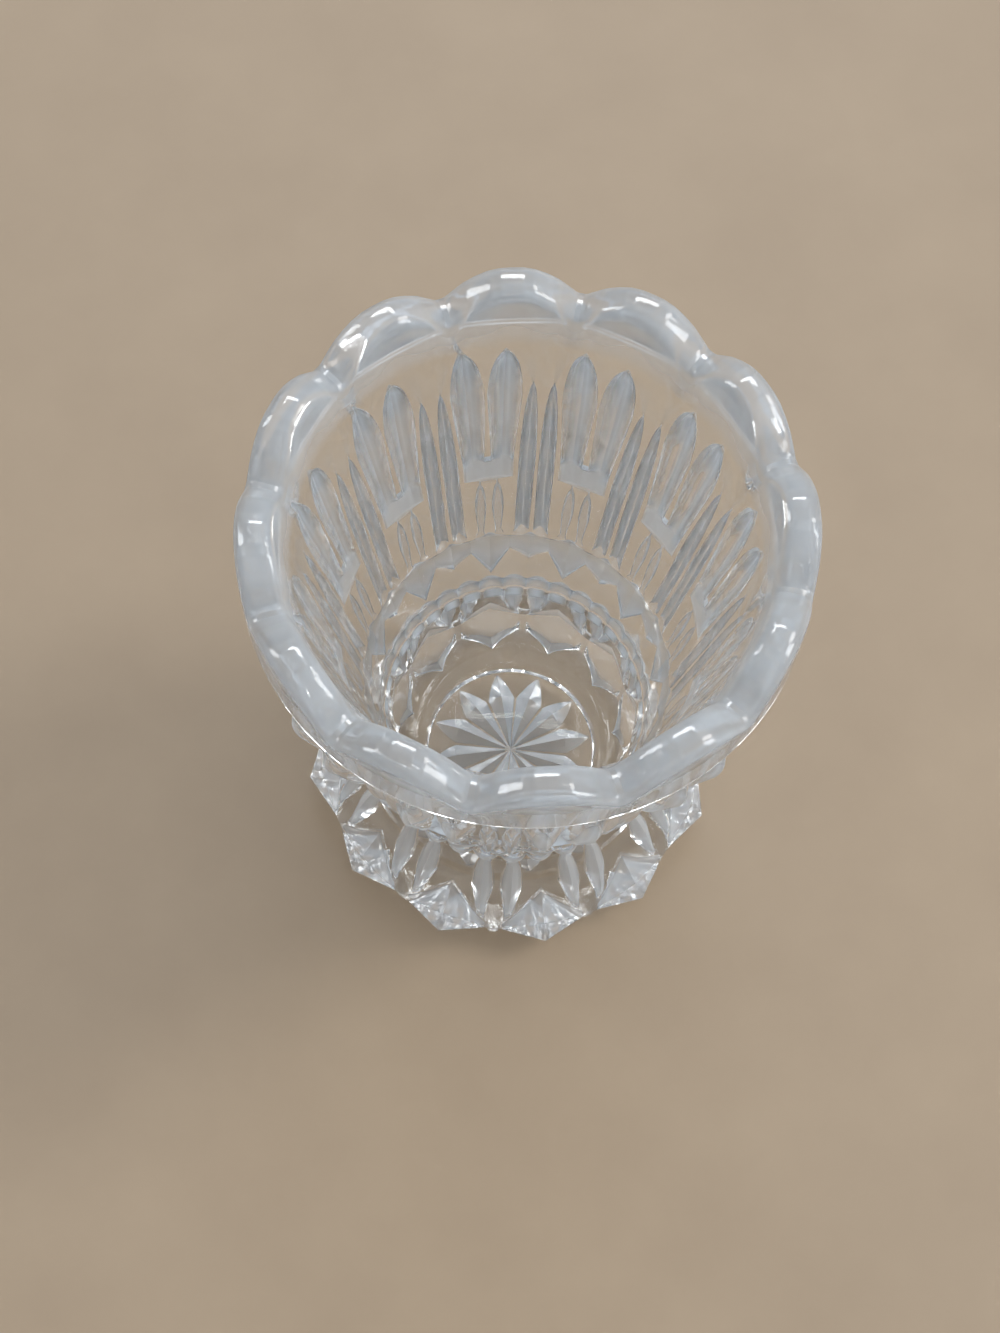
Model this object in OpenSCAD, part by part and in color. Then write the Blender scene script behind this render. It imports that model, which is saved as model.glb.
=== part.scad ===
// Footed toothpick holder of clear pressed glass.
// The holder is one pressing, divided here along the zones of its mould.
// The origin is on the table under the middle of the foot, and +Z points up.

/* [Whole] */
// Height from the table to the tops of the lobes
total_h = 62; // [58:0.5:68]
// Times that the pattern repeats around the holder
repeats = 12; // [11:1:13]

/* [Lip] */
// Diameter over the lip
rim_d = 50; // [47:0.5:54]
// Thickness of the rounded lip
lip_wall = 3.6; // [3:0.1:4.2]
// Height of the lip under its notches
lip_h = 3.4; // [2.6:0.1:4.6]
// Height of a lobe above the notches beside it
lobe_h = 3.6; // [2:0.1:4.4]
// Width of a lobe's flat top
lobe_top_w = 1.2; // [0.6:0.1:3]
// Width of the bottom of a notch
notch_w = 0.8; // [0.4:0.1:2]
// How far the lip stands out over the bowl
lip_step = 0.5; // [0.2:0.1:0.8]
// Turn of the lobes against the pattern on the wall, in degrees
lip_turn = -6.25; // [-14:0.25:14]

/* [Bowl] */
// Outer diameter of the bowl where it meets the collar
waist_d = 31; // [29.5:0.5:33]
// Thickness of the wall at the waist, where the bowl meets the collar
waist_wall = 2.4; // [1.8:0.1:3]
// Diameter of the cup's floor
floor_d = 22.4; // [20:0.2:23]
// Thickness of the glass under the cup's floor
floor_t = 6; // [5:0.2:8]

/* [Petals] */
// Plain band between the lip and the tips of the short petals
plain_band = 3.6; // [2.4:0.2:5]
// Length of a short petal
short_len = 16; // [13:0.5:18]
// Width of a short petal
short_w = 3.7; // [3:0.1:3.8]
// Height that a short petal stands out from the wall
short_relief = 1.8; // [1.2:0.05:2]
// Distance between the tips of a short pair
short_spread = 4.4; // [4.3:0.1:4.6]
// How far the tips of the long petals lie below those of the short ones
long_drop = 4.6; // [2:0.2:6]
// Width of a long petal
long_w = 1.8; // [1.4:0.1:2]
// Height that a long petal stands out from the wall
long_relief = 0.9; // [0.5:0.05:1.1]
// Distance between the two petals of a long pair
long_spread = 2.1; // [2:0.1:2.5]
// Height of a knot
knot_h = 2.6; // [1.8:0.1:3.4]
// Width of a knot
knot_w = 5.2; // [4.4:0.1:5.4]
// Height that a knot stands out from the wall
knot_relief = 0.9; // [0.5:0.05:1.1]
// Width of a bar in the windows under the knots
window_bar_w = 1.3; // [1:0.1:1.6]
// Height that a window bar stands out from the wall
window_bar_relief = 0.4; // [0.3:0.05:0.6]
// Distance between the two bars of a window
window_bar_spread = 1.9; // [1.8:0.1:2.2]

/* [Sawtooth band] */
// Plain gap between the collar and the long teeth
saw_gap = 1; // [0.6:0.1:1.6]
// Length of a long tooth, under each knot
long_tooth = 4; // [3:0.2:5]
// Length of a short tooth, between two long ones
short_tooth = 1.6; // [0.8:0.2:2.4]
// Height of the band over the teeth
saw_band_h = 2.2; // [1.4:0.2:3]
// Height that the band stands out from the wall
saw_relief = 0.6; // [0.4:0.05:0.8]

/* [Collar] */
// Height of the collar
collar_h = 2; // [1.6:0.1:2.6]
// How far the collar's beads stand out from the waist
collar_proud = 0.8; // [0.4:0.05:1]
// Beads on the collar in each repeat of the pattern
beads = 3; // [2:1:4]
// Depth of the grooves between the beads
bead_groove = 0.45; // [0.2:0.05:0.5]

/* [Foot] */
// Height of the foot
foot_h = 14.2; // [12.6:0.2:16]
// Diameter of the foot at its top, under the collar
foot_top_d = 30; // [29:0.2:31]
// Diameter over the foot's points
foot_d = 43.2; // [42.2:0.2:46]
// Diameter of the foot's edge between the points
foot_edge_d = 40; // [38:0.2:41]
// Diameter of the face that the holder rests on
base_d = 31; // [29:0.2:34]
// Height of the foot's edge above the table
edge_h = 3.6; // [2.8:0.1:4.6]
// Height of a point's upper corner above the foot's edge
point_rise = 5.6; // [4:0.2:6.4]
// Width of a point along the foot's edge
point_w = 9.4; // [8:0.2:9.8]
// Width of a bar on the foot
foot_bar_w = 2.4; // [1.6:0.1:2.5]
// Height that a foot bar stands out from the foot
foot_bar_relief = 1; // [0.5:0.05:1.2]
// Distance between the two bars of a pair on the foot
foot_bar_spread = 2.9; // [2.8:0.1:3.2]

/* [Star] */
// Diameter of the disc with the star
star_d = 17.8; // [16:0.2:20]
// Thickness of the disc with the star
star_t = 2.2; // [1.8:0.1:2.8]
// Height of the disc above the table
star_lift = 0.8; // [0.5:0.1:1.2]
// Depth of the star's grooves
star_depth = 1.3; // [0.6:0.1:1.6]
// Width of a star petal
star_petal_w = 2.6; // [2.2:0.1:3.4]

/* [Hidden] */
$fn = 72;

clear_glass = [0.80, 0.84, 0.86];
milky_glass = [0.68, 0.72, 0.75];
bright_glass = [0.90, 0.92, 0.94];

step = 360 / repeats;
// Solids that cut one another run past the faces by this much
over = 1;
// Steps along a petal or bar, and across it
stations = 8;
across = 4;
// Ends of petals, bars and points are blunt by this share of their width
blunt = 0.14;
// Share of its full width that a petal or bar has at its lower end, and where along it is widest
short_start = 0.64;
short_widest = 0.62;
long_start = 0.9;
long_widest = 0.5;
bar_start = 0.4;
bar_widest = 0.5;
// A short pair closes up at its knot to this share of its spread
knot_spread = 0.7;
// Steps along each half of a foot point
point_steps = 4;
// The foot's bars start this share of the way up the points beside them
foot_bar_foot = 0.4;
// Columns in each repeat of the lip and of the sawtooth band, and points over the lip's crown
lip_columns = 12;
saw_columns = 8;
crown_points = 6;
// Sides of the small cylinders that cut the grooves between beads
groove_fn = 16;
// Clear strips that keep the rows of the pattern apart
row_gap = 0.5;
// Plain glass round the star's middle and its tips, and where along its length a petal is widest
star_margin = 0.5;
star_waist = 0.6;

rim_r = rim_d / 2;
mouth_r = rim_r - lip_wall;
notch_z = total_h - lobe_h;
lip_z = notch_z - lip_h;
crown_r = lip_wall / 2;
crown_z = total_h - crown_r;
collar_top = foot_h + collar_h;
waist_r = waist_d / 2;
waist_in = waist_r - waist_wall;
bowl_top_r = rim_r - lip_step;
bowl_slope = (bowl_top_r - waist_r) / (lip_z - collar_top);
floor_r = floor_d / 2;
foot_top_r = foot_top_d / 2;
foot_edge_r = foot_edge_d / 2;
base_r = base_d / 2;
star_r = star_d / 2;

// The pattern hangs from the lip at its upper end and stands on the collar at its lower one
short_tip_z = lip_z - plain_band;
knot_top = short_tip_z - short_len;
knot_z = knot_top - knot_h;
long_tip_z = short_tip_z - long_drop;
saw_tip_z = collar_top + saw_gap;
saw_notch_z = saw_tip_z + long_tooth;
saw_top = saw_notch_z + saw_band_h;

function polar(r, a, z) = [r * cos(a), r * sin(a), z];
function to_angle(w, r) = w / r * 180 / PI;
function between(a, b, t) = a + (b - a) * t;
function share(x, x0, x1) = max(0, min(1, (x - x0) / (x1 - x0)));

// Radius at a height: inside of the cup, and outside of the bowl and of the foot
function cup_r(z) = z < collar_top ? between(floor_r, waist_in, (z - floor_t) / (collar_top - floor_t))
                                   : between(waist_in, mouth_r, (z - collar_top) / (crown_z - collar_top));
bowl_r = function (z) waist_r + bowl_slope * (z - collar_top);
foot_r = function (z) z < edge_h ? between(base_r, foot_edge_r, z / edge_h)
                                 : between(foot_edge_r, foot_top_r, (z - edge_h) / (foot_h - edge_h));

// Height over a raised form's width, from -1 at one side to 1 at the other
round_cap = function (x) sqrt(1 - x * x);
ridge_cap = function (x) 1 - abs(x);

// Share of its full width that a petal has at share t of its length: straight sides, then a pointed arch
function swell(t, start, widest) =
    t < widest ? between(start, 1, t / widest)
               : max(blunt, sqrt(1 - pow((t - widest) / (1 - widest), 2)));

// Stations of a petal: height, place sideways, half width and relief
function petal_rows(z0, z1, offset0, offset1, w, relief, start, widest) =
    [for (i = [0 : stations]) let (t = i / stations, s = swell(t, start, widest))
        [between(z0, z1, t), between(offset0, offset1, t), w / 2 * s, relief * s]];

// A form raised on a wall round angle a, lofted through its stations
module raised(a, rows, wall, cap) {
    loop = 2 * across;
    last = len(rows) - 1;
    points = [for (row = rows, j = [0 : loop - 1])
        let (k = j <= across ? j : loop - j, x = 2 * k / across - 1, r = wall(row[0]))
        polar(r + (j <= across ? 0 : row[3] * cap(x)), a + to_angle(row[1] + row[2] * x, r), row[0])];
    sides = [for (i = [0 : last - 1], j = [0 : loop - 1])
        let (p = i * loop + j, q = i * loop + (j + 1) % loop)
        each [[p, q, q + loop], [p, q + loop, p + loop]]];
    ends = [[for (j = [loop - 1 : -1 : 0]) j], [for (j = [0 : loop - 1]) last * loop + j]];
    polyhedron(points, concat(sides, ends));
}

// A pair of petals or bars, equal on both sides of angle a
module raised_pair(a, z0, z1, spread0, spread1, w, relief, wall, start, widest) {
    for (s = [-1, 1])
        raised(a, petal_rows(z0, z1, s * spread0 / 2, s * spread1 / 2, w, relief, start, widest),
               wall, round_cap);
}

// A ring whose section changes around it: an angle and a section of (radius, height) points per column
module ring(angles, columns) {
    count = len(angles);
    loop = len(columns[0]);
    points = [for (i = [0 : count - 1], p = columns[i]) polar(p[0], angles[i], p[1])];
    faces = [for (i = [0 : count - 1], j = [0 : loop - 1])
        let (a = i * loop, b = (i + 1) % count * loop, k = (j + 1) % loop)
        each [[a + j, a + k, b + k], [a + j, b + k, b + j]]];
    polyhedron(points, faces);
}

// Top of the lip at angle a from the middle of a lobe, whose sides fall away as parabolas
function lobe_z(a) =
    let (pitch = PI * rim_d / repeats, w = abs(a) * PI / 180 * rim_r)
    total_h - lobe_h * pow(share(w, lobe_top_w / 2, (pitch - notch_w) / 2), 2);

function lip_section(z) =
    concat([[cup_r(lip_z), lip_z], [rim_r, lip_z]],
           [for (i = [0 : crown_points]) let (a = 180 * i / crown_points)
               [rim_r - crown_r + crown_r * cos(a), z - crown_r + crown_r * sin(a)]]);

module lip() {
    angles = [for (i = [0 : repeats * lip_columns - 1]) i * step / lip_columns];
    color(milky_glass) rotate(lip_turn)
        ring(angles, [for (a = angles) lip_section(lobe_z((a + step / 2) % step - step / 2))]);
}

module bowl() {
    color(clear_glass) rotate_extrude()
        polygon([[cup_r(collar_top), collar_top], [waist_r, collar_top],
                 [bowl_top_r, lip_z], [cup_r(lip_z), lip_z]]);
}

module short_petals() {
    color(bright_glass)
        for (i = [0 : repeats - 1])
            raised_pair(i * step, knot_top, short_tip_z, short_spread * knot_spread, short_spread,
                        short_w, short_relief, bowl_r, short_start, short_widest);
}

module petal_knots() {
    half = to_angle(knot_w, bowl_r(knot_z)) / 2;
    color(milky_glass)
        for (i = [0 : repeats - 1])
            rotate(i * step - half) rotate_extrude(angle = 2 * half)
                polygon([[bowl_r(knot_z), knot_z], [bowl_r(knot_z) + knot_relief, knot_z],
                         [bowl_r(knot_top) + knot_relief, knot_top], [bowl_r(knot_top), knot_top]]);
}

module window_bars() {
    color(clear_glass)
        for (i = [0 : repeats - 1])
            raised_pair(i * step, saw_top + row_gap, knot_z - row_gap, window_bar_spread, window_bar_spread,
                        window_bar_w, window_bar_relief, bowl_r, bar_start, bar_widest);
}

module long_petals() {
    color(bright_glass)
        for (i = [0 : repeats - 1])
            raised_pair((i + 0.5) * step, saw_top + row_gap, long_tip_z, long_spread, long_spread,
                        long_w, long_relief, bowl_r, long_start, long_widest);
}

// Lower edge of the band at share t of the way from a long tooth to the short one beside it
function saw_z(t) =
    t < 0.5 ? between(saw_tip_z, saw_notch_z, 2 * t) : saw_notch_z - short_tooth * (2 * t - 1);

module sawtooth_band() {
    angles = [for (i = [0 : repeats * saw_columns - 1]) i * step / saw_columns];
    color(milky_glass)
        ring(angles, [for (a = angles)
            let (z = saw_z(2 * abs((a + step / 2) % step / step - 0.5)))
            [[bowl_r(z), z], [bowl_r(z) + saw_relief, z],
             [bowl_r(saw_top) + saw_relief, saw_top], [bowl_r(saw_top), saw_top]]]);
}

module collar() {
    bead_r = waist_r + collar_proud;
    groove_r = collar_h / 4;
    color(bright_glass) difference() {
        rotate_extrude()
            polygon([[cup_r(foot_h), foot_h], [foot_top_r, foot_h], [bead_r, foot_h + collar_h / 3],
                     [bead_r, collar_top - collar_h / 3], [waist_r, collar_top],
                     [cup_r(collar_top), collar_top]]);
        for (i = [0 : repeats * beads - 1])
            rotate((i + 0.5) * step / beads) translate([bead_r + groove_r - bead_groove, 0, foot_h - over])
                cylinder(h = collar_h + 2 * over, r = groove_r, $fn = groove_fn);
    }
}

module foot() {
    color(clear_glass) difference() {
        rotate_extrude()
            polygon([[0, 0], [base_r, 0], [foot_edge_r, edge_h], [foot_top_r, foot_h], [0, foot_h]]);
        translate([0, 0, floor_t])
            cylinder(h = foot_h - floor_t, r1 = floor_r, r2 = cup_r(foot_h));
        translate([0, 0, foot_h]) cylinder(h = over, r = cup_r(foot_h));
        translate([0, 0, -over]) cylinder(h = star_lift + star_t + over, r = star_r);
    }
}

module foot_bars() {
    color(bright_glass)
        for (i = [0 : repeats - 1])
            raised_pair((i + 0.5) * step, edge_h + foot_bar_foot * point_rise, foot_h - row_gap,
                        foot_bar_spread, foot_bar_spread, foot_bar_w, foot_bar_relief, foot_r,
                        bar_start, bar_widest);
}

module foot_points() {
    proud = foot_d / 2 - foot_edge_r;
    up = [for (i = [1 : point_steps]) let (s = max(blunt, 1 - i / point_steps))
        [edge_h + point_rise * i / point_steps, 0, point_w / 2 * s, proud * s]];
    down = [for (i = [0 : point_steps]) let (s = max(blunt, i / point_steps))
        [between(row_gap, edge_h, i / point_steps), 0, point_w / 2 * s, proud * s]];
    color(bright_glass)
        for (i = [0 : repeats - 1])
            raised(i * step, concat(down, up), foot_r, ridge_cap);
}

// A groove under the disc that is widest and deepest part of the way along a star petal
module star_groove() {
    reach = star_r - star_margin;
    mid = reach * star_waist;
    corners = [[star_margin, 0, 0], [mid, -star_petal_w / 2, 0], [reach, 0, 0], [mid, star_petal_w / 2, 0],
               [mid, 0, star_depth]];
    polyhedron(corners, [[0, 1, 2, 3], [1, 0, 4], [2, 1, 4], [3, 2, 4], [0, 3, 4]]);
}

module base_star() {
    color(bright_glass) difference() {
        translate([0, 0, star_lift]) cylinder(h = star_t, r = star_r);
        for (i = [0 : repeats - 1]) rotate(i * step) translate([0, 0, star_lift]) star_groove();
    }
}

lip();
bowl();
short_petals();
petal_knots();
window_bars();
long_petals();
sawtooth_band();
collar();
foot();
foot_bars();
foot_points();
base_star();
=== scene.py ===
"""Footed toothpick holder of clear pressed glass, seen from above on a pale table.

The glass is one closed skin. Node trees lay out one of its twelve equal sectors as strips of rows and
columns, from the star under the foot, up the outside, over the lip and down the inside of the cup. The
sector is then repeated around the axis. Lengths in the trees are millimetres until the last step.
"""
import math

import bpy
from mathutils import Matrix, Vector


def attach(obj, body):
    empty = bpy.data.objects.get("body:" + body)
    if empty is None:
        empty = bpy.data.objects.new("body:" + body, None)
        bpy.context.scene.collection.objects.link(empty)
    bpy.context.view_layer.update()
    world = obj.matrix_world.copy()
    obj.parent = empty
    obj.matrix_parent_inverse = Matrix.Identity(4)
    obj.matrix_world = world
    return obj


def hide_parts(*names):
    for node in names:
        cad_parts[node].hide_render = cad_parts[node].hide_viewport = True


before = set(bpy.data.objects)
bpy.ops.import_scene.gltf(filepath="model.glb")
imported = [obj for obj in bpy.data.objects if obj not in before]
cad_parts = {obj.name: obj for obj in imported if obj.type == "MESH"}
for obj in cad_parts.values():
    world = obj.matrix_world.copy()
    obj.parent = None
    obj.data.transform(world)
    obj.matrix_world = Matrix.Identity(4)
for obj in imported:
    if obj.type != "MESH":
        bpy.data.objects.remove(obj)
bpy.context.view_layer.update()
MM = 0.001


class Wire:
    """A node's output that can be used in sums."""

    def __init__(self, tree, node, out=0):
        self.tree, self.node, self.out = tree, node, out

    @property
    def socket(self):
        return self.node.outputs[self.out]

    def math(self, operation, *values, clamp=False):
        sockets = dict(enumerate(values))
        return self.tree.add("ShaderNodeMath", {"operation": operation, "use_clamp": clamp}, sockets)

    def __add__(self, other): return self.math("ADD", self, other)
    def __radd__(self, other): return self.math("ADD", other, self)
    def __sub__(self, other): return self.math("SUBTRACT", self, other)
    def __rsub__(self, other): return self.math("SUBTRACT", other, self)
    def __mul__(self, other): return self.math("MULTIPLY", self, other)
    def __rmul__(self, other): return self.math("MULTIPLY", other, self)
    def __truediv__(self, other): return self.math("DIVIDE", self, other)
    def __pow__(self, other): return self.math("POWER", self, other)
    def __gt__(self, other): return self.math("GREATER_THAN", self, other)
    def __abs__(self): return self.math("ABSOLUTE", self)

    def sin(self): return self.math("SINE", self)
    def cos(self): return self.math("COSINE", self)
    def sqrt(self): return self.math("SQRT", self)
    def sign(self): return self.math("SIGN", self)
    def at_most(self, other): return self.math("MINIMUM", self, other)
    def at_least(self, other): return self.math("MAXIMUM", self, other)
    def wrap(self, low, high): return self.math("WRAP", self, high, low)

    def share(self, low, high):
        """Nought below low, one above high and even between them."""
        return self.math("MULTIPLY_ADD", self, 1 / (high - low), -low / (high - low), clamp=True)


class Tree:
    """A node tree with one method that adds any node."""

    def __init__(self, tree):
        self.tree = tree

    def add(self, kind, settings=None, sockets=None, out=0):
        node = self.tree.nodes.new(kind)
        for name, value in (settings or {}).items():
            if name == "stops":
                ramp = node.color_ramp
                while len(ramp.elements) < len(value):
                    ramp.elements.new(1.0)
                for element, (place, colour) in zip(ramp.elements, value):
                    element.position, element.color = place, colour
            else:
                setattr(node, name, value)
        for name, value in (sockets or {}).items():
            for part in value if isinstance(value, list) else [value]:
                if isinstance(part, Wire):
                    self.tree.links.new(part.socket, node.inputs[name])
                else:
                    node.inputs[name].default_value = part
        return Wire(self, node, out)


def along(x, stops):
    """A line of straight stretches through stops of (place on x, value)."""
    low, before = stops[0]
    total = before
    for high, value in stops[1:]:
        if value != before:
            total = total + (value - before) * x.share(low, high)
        low, before = high, value
    return total


def mix(a, b, t):
    """From a at nought to b at one."""
    return a + (b - a) * t


def blended(a, b, t):
    """Two rows of numbers mixed one by one."""
    return [mix(x, y, t) for x, y in zip(a, b)]


# The holder's sizes in millimetres, which are also the inputs of the trees
SIZES = {
    "Height": 62.0, "Rim radius": 24.99, "Lip wall": 3.6, "Lip foot": 55.0, "Notch height": 58.4,
    "Bowl top radius": 24.5, "Waist radius": 15.5, "Waist inside": 13.1, "Collar top": 16.2,
    "Floor radius": 11.2, "Floor height": 6.0,
    "Short petal tip": 51.4, "Short petal foot": 35.4, "Short petal width": 3.7, "Short petal relief": 1.8,
    "Short petal spread": 4.4,
    "Long petal tip": 46.8, "Long petal foot": 23.9, "Long petal width": 1.8, "Long petal relief": 0.9,
    "Long petal spread": 2.1,
    "Knot foot": 32.8, "Knot width": 5.2, "Knot relief": 0.9,
    "Window bar width": 1.3, "Window bar relief": 0.4, "Window bar spread": 1.9,
    "Long tooth tip": 17.2, "Tooth notch": 21.2, "Short tooth tip": 19.6,
    "Band top": 23.4, "Band relief": 0.6,
    "Foot height": 14.2, "Foot top radius": 15.0, "Foot edge radius": 20.0, "Point radius": 21.6,
    "Base radius": 15.5, "Edge height": 3.6, "Point height": 9.2, "Bead relief": 0.8,
    "Foot bar foot": 5.84, "Foot bar width": 2.4, "Foot bar relief": 1.0, "Foot bar spread": 2.9,
    "Star radius": 8.9, "Star lift": 0.8, "Star depth": 1.3,
}
REPEATS = 12
HALF = 180 / REPEATS
# Columns in half a sector, and those that follow the edges and ridges of petals and bars
COLUMNS = 24
MARKS = (0, 2, 6, 10, 13, 17, 21, 24)
EVEN = [HALF * mark / COLUMNS for mark in MARKS]
# Ridge and half width, in columns, of petals and bars by a sector's middle and of those by its sides
INNER, OUTER = (6.0, 4.0), (17.0, 4.0)
# Lobes of the lip are turned against the pattern by this many columns
LOBE_TURN = 10
# Side corners of the foot's points, in degrees from the middle of a point
POINT_SIDE = 13.4
# Petals and bars end blunt, at this share of their width
BLUNT = 0.14
# Degrees from one bead of the waist to the next
BEAD_STEP = 10
# Height of the rounding at the resting ring's edge
RING_ROUND = 0.35
# Points of two strips that lie nearer than this are one
SEAM = 0.004
# Bends of more degrees than this stay crisp
CRISP = 24
DEGREES = math.degrees(1)
# Mesh attribute for haze and painted sheen: it roughens the glass and mixes in a painted milky-white sheen
# that stands for window light caught by the facets; nought is clear, two is all sheen
HAZE_AND_SHEEN = "haze"


class Strip(Tree):
    """The tree of one strip of a sector: rows run up the section of the glass, columns around it."""

    def __init__(self, name, rows):
        super().__init__(bpy.data.node_groups.new(name, "GeometryNodeTree"))
        self.tree.interface.new_socket("Geometry", in_out="OUTPUT", socket_type="NodeSocketGeometry")
        self.inputs = self.tree.nodes.new("NodeGroupInput")
        self.sizes = {}
        self.rows = rows
        if rows:
            place = self.add("GeometryNodeInputPosition")
            grid = self.add("ShaderNodeSeparateXYZ", sockets={"Vector": place}).node
            self.column = Wire(self, grid, "X") * (2.0 * COLUMNS)
            self.k = abs(self.column)
            self.side = self.column.sign()
            self.even = self.k * (HALF / COLUMNS)
            self.v = Wire(self, grid, "Y") + 0.5
            self.row = self.v * float(rows)

    def __getitem__(self, name):
        if name not in self.sizes:
            self.tree.interface.new_socket(name, in_out="INPUT", socket_type="NodeSocketFloat")
            self.sizes[name] = Wire(self, self.inputs, name)
        return self.sizes[name]

    def end(self, geometry):
        out = self.tree.nodes.new("NodeGroupOutput")
        self.tree.links.new(geometry.socket, out.inputs["Geometry"])

    def lay(self, x, y, z, haze=0.0):
        """Moves a flat grid to the strip's points, y being the distance from the sector's middle."""
        grid = self.add("GeometryNodeMeshGrid", sockets={
            "Size X": 1.0, "Size Y": 1.0, "Vertices X": 2 * COLUMNS + 1, "Vertices Y": self.rows + 1})
        marked = self.add("GeometryNodeStoreNamedAttribute", {"data_type": "FLOAT", "domain": "POINT"},
                          {"Geometry": grid, "Name": HAZE_AND_SHEEN, "Value": haze})
        point = self.add("ShaderNodeCombineXYZ", sockets={"X": x, "Y": y * self.side, "Z": z})
        self.end(self.add("GeometryNodeSetPosition", sockets={"Geometry": marked, "Position": point}))

    def turn(self, radius, angle, z, haze=0.0):
        angle = angle / DEGREES
        self.lay(radius * angle.cos(), radius * angle.sin(), z, haze)

    def up(self, stops):
        return along(self.row, stops)

    def across(self, stops):
        return along(self.k, stops)

    def columns(self, marks):
        return self.across(list(zip(MARKS, marks)))

    # Radius of the bowl, the foot and the inside of the cup at a height
    def bowl(self, z):
        rise = (z - self["Collar top"]) / (self["Lip foot"] - self["Collar top"])
        return mix(self["Waist radius"], self["Bowl top radius"], rise)

    def foot(self, z):
        rise = (z - self["Edge height"]) / (self["Foot height"] - self["Edge height"])
        return mix(self["Foot edge radius"], self["Foot top radius"], rise)

    def cup(self, z):
        mouth = self["Rim radius"] - self["Lip wall"]
        rise = (z - self["Collar top"]) / (self["Height"] - self["Lip wall"] * 0.5 - self["Collar top"])
        return mix(self["Waist inside"], mouth, rise)

    # Sections of petals and bars, on the columns between two marks
    def arched(self, middle, half):
        return (1.0 - abs((self.k - middle) / half) ** 1.2).at_least(0.0)

    def rounded(self, middle, half):
        x = (self.k - middle) / half
        return (1.0 - x * x).at_least(0.0).sqrt()

    def swell(self, z, low, high, start, widest):
        """Share of its full width that a petal has at a height: straight sides, then a pointed arch."""
        t = ((z - low) / (high - low)).at_least(0.0).at_most(1.0)
        arch = (t - widest).at_least(0.0) / (1 - widest)
        return (mix(start, 1.0, t.share(0.0, widest)) * (1.0 - arch * arch).sqrt()).at_least(BLUNT)

    def edges(self, offset, half, radius):
        return [(offset + half * x) / radius * DEGREES for x in (-1.0, 0.0, 1.0)]

    def short_pair(self, z):
        """Share of its full width that a short petal has at a height, and the angles of its marks."""
        low, high = self["Short petal foot"], self["Short petal tip"]
        grown = self.swell(z, low, high, 0.64, 0.62)
        t = ((z - low) / (high - low)).at_least(0.0).at_most(1.0)
        spread = mix(0.35, 0.5, t) * self["Short petal spread"]
        return grown, [0.0, *self.edges(spread, self["Short petal width"] * 0.5 * grown, self.bowl(z))]

    def long_pair(self, z):
        grown = self.swell(z, self["Long petal foot"], self["Long petal tip"], 0.9, 0.5)
        inner, ridge, outer = self.edges(self["Long petal spread"] * 0.5,
                                         self["Long petal width"] * 0.5 * grown, self.bowl(z))
        return grown, [HALF - outer, HALF - ridge, HALF - inner, HALF]

    def bar_pair(self, z):
        grown = self.swell(z, self["Long petal foot"], self["Knot foot"] - 0.5, 0.4, 0.5)
        return grown, [0.0, *self.edges(self["Window bar spread"] * 0.5,
                                        self["Window bar width"] * 0.5 * grown, self.bowl(z))]


def star(s):
    """Star pressed into the underside, its recess and the ring that the holder rests on."""
    lift, reach, base = s["Star lift"], s["Star radius"], base_edge(s)
    radius = s.up([(0, 0.0), (6, reach * 0.66), (12, reach * 0.96), (14, reach), (15, reach + 0.25),
                   (16, reach + 0.6), (18, base - 0.5), (20, base)])
    petal = s.up([(0, 13.6), (6, 13.9), (12, 0.7), (14, 10.0)])
    angle = s.across([(0, 0.0), (16, petal), (24, HALF)])
    depth = s.up([(0, 0.0), (6, s["Star depth"]), (12, 0.0)]) * (1.0 - s.k.share(0, 16))
    z = s.up([(0, lift), (14, lift), (15, lift * 0.25), (16, 0.0), (18, 0.0), (19, 0.06), (20, RING_ROUND)])
    # The last argument is a painted sheen on the star's petals
    s.turn(radius, angle, z + depth, s.up([(0, 0.6), (12, 0.6), (13, 0.0)]) * (1.0 - s.k.share(15, 17)))


def base_edge(s):
    """Outline of the resting ring, which draws in under the points."""
    return s["Base radius"] + s.across([(0, -2.1), (22, 4.0), (24, 4.0)])


def point_edge(s):
    """Zigzag of the foot's edge, out to the points and back."""
    edge, corner, middle = s["Foot edge radius"], math.radians(POINT_SIDE), math.radians(HALF)
    return (s.across([(0, s["Point radius"]), (22, edge * math.cos(corner)), (24, edge * math.cos(middle))]),
            s.across([(0, 0.0), (22, edge * math.sin(corner)), (24, edge * math.sin(middle))]))


def point_top(s):
    """Upper outline of the points: its height and its angle."""
    return (s.across([(0, s["Point height"]), (22, s["Edge height"] + 0.3), (24, s["Edge height"] + 0.3)]),
            s.across([(0, 0.0), (22, POINT_SIDE), (24, HALF)]))


def lower_facets(s):
    """Undersides of the points."""
    edge_x, edge_y = point_edge(s)
    turn, base = s.even / DEGREES, base_edge(s)
    # Painted sheen on the points' undersides, whitest near the resting ring
    haze = (1.0 - s.k.share(14, 20)) * (1.6 - s.v.share(0.0, 0.4) * 1.45)
    s.lay(mix(base * turn.cos(), edge_x, s.v), mix(base * turn.sin(), edge_y, s.v),
          mix(RING_ROUND, s["Edge height"], s.v), haze)


def upper_facets(s):
    """Upper sides of the points."""
    edge_x, edge_y = point_edge(s)
    top, angle = point_top(s)
    turn, radius = angle / DEGREES, s.foot(top)
    # The last argument is a painted sheen on the points' upper sides, whiter towards their tops
    s.lay(mix(edge_x, radius * turn.cos(), s.v), mix(edge_y, radius * turn.sin(), s.v),
          mix(s["Edge height"], top, s.v), (1.0 - s.k.share(20, 22)) * (s.v * 0.4 + 0.4))


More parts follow.
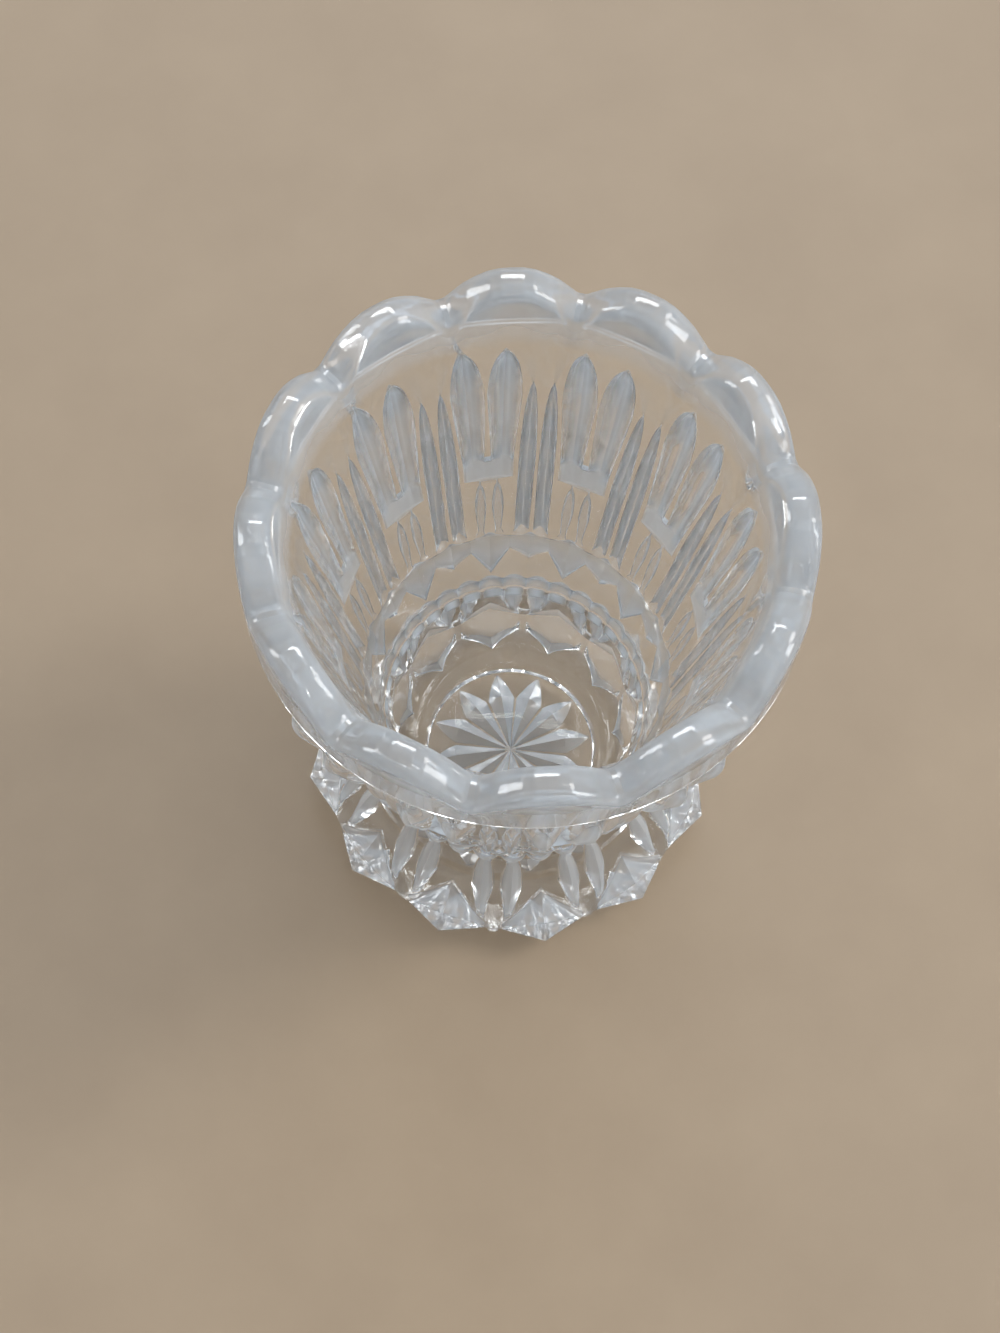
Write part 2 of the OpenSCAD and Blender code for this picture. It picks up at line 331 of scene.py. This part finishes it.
def foot_windows(s):
    """Hollows between the points, each with a pair of bars."""
    top, angle = point_top(s)
    z = mix(top, s["Foot height"], s.v)
    wall = s.foot(z)
    grown = s.swell(z, s["Foot bar foot"], s["Foot height"] - 0.5, 0.4, 0.5)
    inner, ridge, outer = s.edges(s["Foot bar spread"] * 0.5, s["Foot bar width"] * 0.5 * grown, wall)
    barred = s.across([(0, 0.0), (13, HALF - outer), (17, HALF - ridge), (21, HALF - inner), (24, HALF)])
    held = s.up([(0, 0.0), (4, 1.0), (17, 1.0), (20, 0.0)])
    shown = s.up([(0, 0.0), (3, 1.0), (18, 1.0), (20, 0.0)])
    bar = s.arched(*OUTER)
    # The last argument is a painted sheen on the bars' cores
    s.turn(wall + s["Foot bar relief"] * grown * bar * shown,
           mix(mix(angle, s.even, s.v), barred, held), z, bar.share(0.0, 0.4) * shown)


def collar(s):
    """Beaded ring at the waist."""
    bulge = (s.v * math.pi).sin().at_least(0.0) ** 0.7
    bead = abs((s.even * (math.pi / BEAD_STEP)).cos()) ** 0.8
    # The last argument is a painted sheen on the beads, strongest at their bulge
    s.turn(mix(s["Foot top radius"], s["Waist radius"], s.v) + bulge * (bead * s["Bead relief"] + 0.2),
           s.even, mix(s["Foot height"], s["Collar top"], s.v), bulge)


def teeth(s):
    """Plain gap over the collar, the teeth and the band over them."""
    tooth = s.across([(0, s["Long tooth tip"]), (12, s["Tooth notch"]), (24, s["Short tooth tip"])])
    top = s["Band top"]
    z = s.up([(0, s["Collar top"]), (4, tooth), (5, tooth + 0.3), (10, top - 0.2), (12, top + 0.1)])
    proud = s.up([(0, 0.0), (4, 0.0), (5, 1.0), (10, 1.0), (12, 0.0)])
    ridge = s.across([(0, 1.3), (12, 0.2), (24, 1.1)])
    # Painted sheen on the teeth, whitest at their lower edges and fading towards the band's top
    haze = proud * s.up([(0, 1.5), (6, 1.3), (12, 0.4)])
    s.turn(s.bowl(z) + s["Band relief"] * proud * ridge, s.even, z, haze)


def windows(s):
    """Clear windows with slim bars, between the lower parts of the long petals."""
    z = mix(s["Band top"] + 0.1, s["Knot foot"], s.v)
    grown_bar, bars = s.bar_pair(z)
    grown_long, longs = s.long_pair(z)
    start = s.up([(0, 0.0), (2, 1.0)])
    shown = s.up([(0, 0.0), (2, 1.0), (15, 1.0), (16, 0.0)])
    bar, petal = s.rounded(*INNER), s.arched(*OUTER)
    relief = (s["Window bar relief"] * grown_bar * bar * shown
              + s["Long petal relief"] * grown_long * petal * start)
    # Painted sheen on the slim bars and on the long petals' cores
    haze = bar.share(0.0, 0.5) * shown * 0.5 + petal.share(0.0, 0.4) * 0.5
    s.turn(s.bowl(z) + relief, s.columns(blended(EVEN, bars + longs, start)), z, haze)


def knots(s):
    """Blocks that the short petals end in, and the long petals beside them."""
    foot, top = s["Knot foot"], s["Short petal foot"]
    z = s.up([(0, foot), (1, foot + 0.25), (5, top - 0.1), (6, top + 0.2)])
    grown_long, longs = s.long_pair(z)
    bars = s.bar_pair(foot)[1]
    grown_short, shorts = s.short_pair(top + 0.2)
    block = [0.0] + [s["Knot width"] * part / s.bowl(foot) * DEGREES for part in (0.12, 0.3, 0.5)]
    held = s.up([(0, 0.0), (1, 1.0), (5, 1.0), (6, 0.0)])
    marks = blended(blended(bars, shorts, s.row.share(1, 5)), block, held)
    dome = s.up([(0, 0.0), (1, 0.3), (5, 0.95), (6, 0.0)]) * (1.0 - s.k.share(6, 10))
    petal = s.arched(*OUTER)
    relief = (s["Knot relief"] * dome
              + s["Short petal relief"] * grown_short * s.arched(*INNER) * s.row.share(5, 6)
              + s["Long petal relief"] * grown_long * petal)
    # Painted sheen, strongest on the knot blocks, and fainter on the long petals' cores
    haze = (1.0 - s.k.share(9, 11)) * 1.4 + petal.share(0.0, 0.4) * 0.5
    s.turn(s.bowl(z) + relief, s.columns(marks + longs), z, haze)


def petals(s):
    """Short petals over their knots, and the upper parts of the long ones between them."""
    tip, long_tip = s["Short petal tip"], s["Long petal tip"]
    z = mix(s["Short petal foot"] + 0.2, tip, s.v)
    grown_short, shorts = s.short_pair(z)
    grown_long, longs = s.long_pair(z)
    past = ((z - long_tip) / (tip - long_tip)).at_least(0.0).at_most(1.0)
    short, long = s.arched(*INNER), s.arched(*OUTER)
    relief = (s["Short petal relief"] * grown_short * short * (1.0 - s.v.share(0.97, 1.0))
              + s["Long petal relief"] * grown_long * long * (1.0 - (past * 12.0).at_most(1.0)))
    # Painted sheen: white cores of the short petals, more so on one side of the ridge as if lit from there
    # and most just under the tips as painted highlights, and fainter cores on the long petals
    lit = 1.0 - ((s.k - INNER[0]) * s.side).share(-0.5, 1.5) * s.up([(0, 0.0), (8, 0.9)])
    painted_sheen = s.up([(0, 1.2), (8, 1.0), (20, 1.2), (30, 1.7), (32, 1.0), (34, 0.0)])
    haze = (short.share(0.2, 0.8) * painted_sheen * lit
            + long.share(0.0, 0.4) * (s.up([(0, 0.5), (26, 0.3)]) - past * 0.3))
    s.turn(s.bowl(z) + relief, s.columns(shorts + blended(longs, EVEN[4:], past)), z, haze)


def plain_band(s):
    """Plain wall under the lip."""
    tip = s["Short petal tip"]
    z = mix(tip, s["Lip foot"], s.v)
    s.turn(s.bowl(z), s.columns(blended(s.short_pair(tip)[1] + EVEN[4:], EVEN, s.v)), z)


def lip(s):
    """Lip, rounded over the wave of its lobes."""
    wave = abs((s.column + LOBE_TURN).wrap(-COLUMNS, COLUMNS))
    top, notch, foot, crown = s["Height"], s["Notch height"], s["Lip foot"], s["Lip wall"] * 0.5
    drop = along(wave, [(0, 0.0), (4, 0.01), (8, 0.09), (12, 0.26), (16, 0.48), (20, 0.8), (22.5, 1.0)])
    shoulder = mix(top, notch, drop) - crown
    over = s.row.share(4, 17) * math.pi
    round_x = over.cos().sign() * abs(over.cos()) ** 0.75
    round_z = over.sin().at_least(0.0) ** 0.75
    rim = s["Rim radius"]
    radius = s.up([(0, s["Bowl top radius"]), (1, rim - 0.2), (2, rim), (17, rim),
                   (20, s.cup(foot) + s["Lip wall"])])
    z = s.up([(0, foot), (1, foot), (2, foot + 0.2), (4, shoulder), (17, shoulder), (20, foot)])
    # Painted sheen over the crown, brighter on each lobe's slopes than on its top and by the notches, as
    # painted light and dark facets
    haze = s.up([(0, 0.0), (4, 0.0), (6, 0.9), (17, 0.9), (19, 0.5), (20, 0.0)]) * along(
        wave, [(0, 0.85), (4, 0.88), (9, 1.0), (14, 1.0), (18, 0.85), (24, 0.85)])
    s.turn(radius - crown * (1.0 - round_x), s.even, z + crown * round_z, haze)


def inside(s):
    """Inside of the cup with a painted sheen in a beaded ring behind the collar, the turn into its floor and
    the floor.
    """
    foot, floor, edge = s["Lip foot"], s["Floor height"], s["Floor radius"]
    ring = s["Collar top"]
    z = s.up([(0, foot), (5, ring + 0.4), (9, ring - 1.6), (11, floor + 3.0), (12, floor + 1.8),
              (13, floor + 0.9), (14, floor + 0.35), (15, floor + 0.1), (16, floor), (20, floor)])
    radius = s.up([(0, s.cup(foot)), (11, s.cup(floor + 3.0)), (12, s.cup(floor + 1.8) - 0.12),
                   (13, s.cup(floor + 0.9) - 0.45), (14, edge - 0.95), (15, edge - 1.6), (16, edge - 2.4),
                   (20, 0.0)])
    # The wall is straight down to the turn, however its rows are spaced
    radius = mix(s.cup(z), radius, s.row.share(10.5, 10.6))
    # Painted sheen in a beaded ring behind the collar
    bead = abs((s.even * (math.pi / BEAD_STEP)).cos())
    s.turn(radius, s.even, z, s.up([(0, 0.0), (5, 0.0), (6, 1.6), (8, 1.6), (9, 0.0)]) * bead)


STRIPS = ((star, 20), (lower_facets, 5), (upper_facets, 6), (foot_windows, 20), (collar, 8), (teeth, 12),
          (windows, 16), (knots, 6), (petals, 34), (plain_band, 5), (lip, 20), (inside, 20))


def pressed_glass(material):
    """The whole skin: the strips of a sector, twelve times around the axis."""
    whole = Strip("pressed_glass", 0)
    sector = []
    for shape, rows in STRIPS:
        strip = Strip(shape.__name__, rows)
        shape(strip)
        sector.append(whole.add("GeometryNodeGroup", {"node_tree": strip.tree},
                                {name: whole[name] for name in strip.sizes}))
    joined = whole.add("GeometryNodeJoinGeometry", sockets={"Geometry": sector})
    points = whole.add("GeometryNodePoints", sockets={"Count": REPEATS})
    step = whole.add("GeometryNodeInputIndex") * (2 * math.pi / REPEATS)
    turned = whole.add("FunctionNodeEulerToRotation", sockets={
        "Euler": whole.add("ShaderNodeCombineXYZ", sockets={"Z": step})})
    ring = whole.add("GeometryNodeInstanceOnPoints",
                     sockets={"Points": points, "Instance": joined, "Rotation": turned})
    real = whole.add("GeometryNodeRealizeInstances", sockets={"Geometry": ring})
    skin = whole.add("GeometryNodeMergeByDistance", sockets={"Geometry": real, "Distance": SEAM})
    metres = whole.add("GeometryNodeTransform", sockets={"Geometry": skin, "Scale": (MM, MM, MM)})
    smooth = whole.add("GeometryNodeSetShadeSmooth", {"domain": "FACE"},
                       {"Geometry": metres, "Shade Smooth": True})
    bend = whole.add("GeometryNodeInputMeshEdgeAngle") > math.radians(CRISP)
    crisp = whole.add("GeometryNodeSetShadeSmooth", {"domain": "EDGE"},
                      {"Geometry": smooth, "Selection": bend, "Shade Smooth": False})
    whole.end(whole.add("GeometryNodeSetMaterial", sockets={"Geometry": crisp, "Material": material}))
    return whole.tree


def made(name, tree, sizes):
    """The finished plain mesh of a tree, as an object at the origin."""
    obj = bpy.data.objects.new(name, bpy.data.meshes.new(name))
    bpy.context.scene.collection.objects.link(obj)
    modifier = obj.modifiers.new(name, "NODES")
    modifier.node_group = tree
    for item in tree.interface.items_tree:
        if item.in_out == "INPUT":
            modifier[item.identifier] = sizes[item.name]
    bpy.context.view_layer.update()
    mesh = bpy.data.meshes.new_from_object(obj.evaluated_get(bpy.context.evaluated_depsgraph_get()))
    obj.modifiers.remove(modifier)
    obj.data = mesh
    mesh.name = name
    return obj


def new_material(name):
    material = bpy.data.materials.new(name)
    material.use_nodes = True
    material.node_tree.nodes.clear()
    return material, Tree(material.node_tree)


def clear_glass():
    material, t = new_material("clear_pressed_glass")
    where = t.add("ShaderNodeTexCoord", out="Object")
    height = Wire(t, t.add("ShaderNodeSeparateXYZ", sockets={"Vector": where}).node, "Z")
    haze = t.add("ShaderNodeAttribute", {"attribute_name": HAZE_AND_SHEEN}, out="Fac")
    # Slow waves that chilled glass keeps, fine pitting, and scuffs where hands and the table rub it
    wave = t.add("ShaderNodeTexNoise", sockets={"Vector": where, "Scale": 180.0, "Detail": 1.5})
    grain = t.add("ShaderNodeTexNoise", sockets={"Vector": where, "Scale": 2600.0, "Detail": 2.0})
    scuff = t.add("ShaderNodeTexNoise", sockets={"Vector": where, "Scale": 420.0, "Detail": 4.0})
    dull = haze.at_most(1.0)
    milky = dull * dull * (scuff.share(0.3, 0.75) * 0.06 + 0.08)
    worn = (1.0 - height.share(0.0, 0.0003)) * scuff.share(0.5, 0.75) * 0.12
    rough = wave * 0.015 + milky + worn + 0.006
    swell = t.add("ShaderNodeBump", sockets={"Strength": 0.12, "Distance": 0.0006, "Height": wave})
    bump = t.add("ShaderNodeBump", sockets={
        "Strength": 0.03, "Distance": 0.0001, "Height": grain, "Normal": swell})
    clear = t.add("ShaderNodeBsdfPrincipled", sockets={
        "Base Color": (0.985, 0.99, 0.99, 1.0), "Roughness": rough, "IOR": 1.52, "Transmission Weight": 1.0,
        "Coat Weight": dull, "Coat Roughness": 0.09, "Normal": bump})
    # Painted sheen: a milky white diffuse and translucent layer, mixed in by the attribute at up to half,
    # stands for window light caught by the facets of the clear glass
    painted_sheen = (0.84, 0.92, 1.0, 1.0)
    front = t.add("ShaderNodeBsdfDiffuse", sockets={"Color": painted_sheen, "Normal": bump})
    through = t.add("ShaderNodeBsdfTranslucent", sockets={"Color": painted_sheen, "Normal": bump})
    sheen_shader = t.add("ShaderNodeMixShader", sockets={0: 0.25, 1: front, 2: through})
    shader = t.add("ShaderNodeMixShader", sockets={0: haze * 0.5, 1: clear, 2: sheen_shader})
    t.add("ShaderNodeOutputMaterial", sockets={"Surface": shader})
    return material


def pale_table():
    material, t = new_material("pale_table")
    where = t.add("ShaderNodeTexCoord", out="Object")
    mottle = t.add("ShaderNodeTexNoise", sockets={"Vector": where, "Scale": 60.0, "Detail": 5.0})
    tones = [(0.3, (0.43, 0.325, 0.22, 1)), (0.7, (0.465, 0.355, 0.242, 1))]
    colour = t.add("ShaderNodeValToRGB", {"stops": tones}, {"Fac": mottle})
    shader = t.add("ShaderNodeBsdfPrincipled", sockets={"Base Color": colour, "Roughness": 0.6})
    t.add("ShaderNodeOutputMaterial", sockets={"Surface": shader})
    return material


def room():
    """Soft light from all around: pale walls, dimmer on one side, and a bright ceiling."""
    world = bpy.data.worlds.new("room")
    bpy.context.scene.world = world
    world.use_nodes = True
    world.node_tree.nodes.clear()
    t = Tree(world.node_tree)
    where = t.add("ShaderNodeTexCoord", out="Generated")
    split = t.add("ShaderNodeSeparateXYZ", sockets={"Vector": where}).node
    tones = [(0.0, (0.3, 0.3, 0.3, 1)), (0.2, (0.4, 0.41, 0.43, 1)), (0.45, (0.72, 0.75, 0.8, 1)),
             (0.75, (0.95, 0.97, 1.0, 1)), (1.0, (1.0, 1.0, 1.0, 1))]
    sky = t.add("ShaderNodeValToRGB", {"stops": tones}, {"Fac": Wire(t, split, "Z")})
    bright = Wire(t, split, "X").share(-0.7, 0.7) * 0.46 + 0.55
    light = t.add("ShaderNodeBackground", sockets={"Color": sky, "Strength": bright})
    t.add("ShaderNodeOutputWorld", sockets={"Surface": light})


# The photo's angle in degrees, the point it looks at in millimetres and its distance in metres
CAMERA_TURN, CAMERA_RISE, CAMERA_ROLL = -13, 69.04, 3.63
CAMERA_TARGET, CAMERA_REACH = (-1.673, -11.93, 58.4), 0.20106


def stand():
    """Table top, lamps and camera."""
    half = 3.0
    mesh = bpy.data.meshes.new("table_top")
    # A hair under the glass, so that the two faces don't lie in one plane
    low = -0.0002
    mesh.from_pydata([(-half, -half, low), (half, -half, low), (half, half, low), (-half, half, low)], [],
                     [(0, 1, 2, 3)])
    mesh.materials.append(pale_table())
    floor = bpy.data.objects.new("table_top", mesh)
    bpy.context.scene.collection.objects.link(floor)

    facing = Matrix.Rotation(math.radians(CAMERA_TURN), 3, "Z")
    middle = Vector((0, 0, 0.03))
    for name, place, size, power, colour in (
            ("window_right", (0.75, 0.25, 0.75), (0.3, 0.4), 3.0, (1.0, 0.985, 0.96)),
            ("panel_back", (0.0, 0.70, 0.85), (0.6, 0.25), 7.0, (0.95, 0.98, 1.0)),
            ("panel_left", (-0.8, 0.2, 0.5), (0.25, 0.6), 4.0, (0.95, 0.98, 1.0)),
            ("panel_right", (0.8, -0.1, 0.45), (0.25, 0.6), 4.0, (0.95, 0.98, 1.0))):
        light = bpy.data.lights.new(name, "AREA")
        light.shape, light.size, light.size_y, light.energy, light.color = "RECTANGLE", *size, power, colour
        lamp = bpy.data.objects.new(name, light)
        # The panels show only as glints in the glass
        lamp.visible_diffuse = name == "window_right"
        lamp.location = facing @ Vector(place)
        lamp.rotation_euler = (middle - lamp.location).to_track_quat("-Z", "Y").to_euler()
        bpy.context.scene.collection.objects.link(lamp)

    rise, roll = math.radians(CAMERA_RISE), math.radians(CAMERA_ROLL)
    back = Vector((0, -math.cos(rise), math.sin(rise)))
    right, up = Vector((1, 0, 0)), Vector((0, math.sin(rise), math.cos(rise)))
    across = right * math.cos(roll) + up * math.sin(roll)
    upward = up * math.cos(roll) - right * math.sin(roll)
    target = Vector(CAMERA_TARGET) * MM
    data = bpy.data.cameras.new("camera")
    data.sensor_fit, data.sensor_width, data.lens, data.clip_start = "HORIZONTAL", 36.0, 86.4, 0.01
    camera = bpy.data.objects.new("camera", data)
    turned = facing @ Matrix((across, upward, back)).transposed()
    camera.matrix_world = Matrix.Translation(facing @ (target + back * CAMERA_REACH)) @ turned.to_4x4()
    bpy.context.scene.collection.objects.link(camera)
    bpy.context.scene.camera = camera
    bpy.context.scene.view_settings.view_transform = "Standard"
    # Light crosses many faces of the pattern before it leaves the glass
    cycles = bpy.context.scene.cycles
    cycles.max_bounces, cycles.transmission_bounces, cycles.glossy_bounces = 28, 28, 12


glass = made("pressed_glass", pressed_glass(clear_glass()), SIZES)
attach(glass, "root")
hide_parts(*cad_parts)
room()
stand()
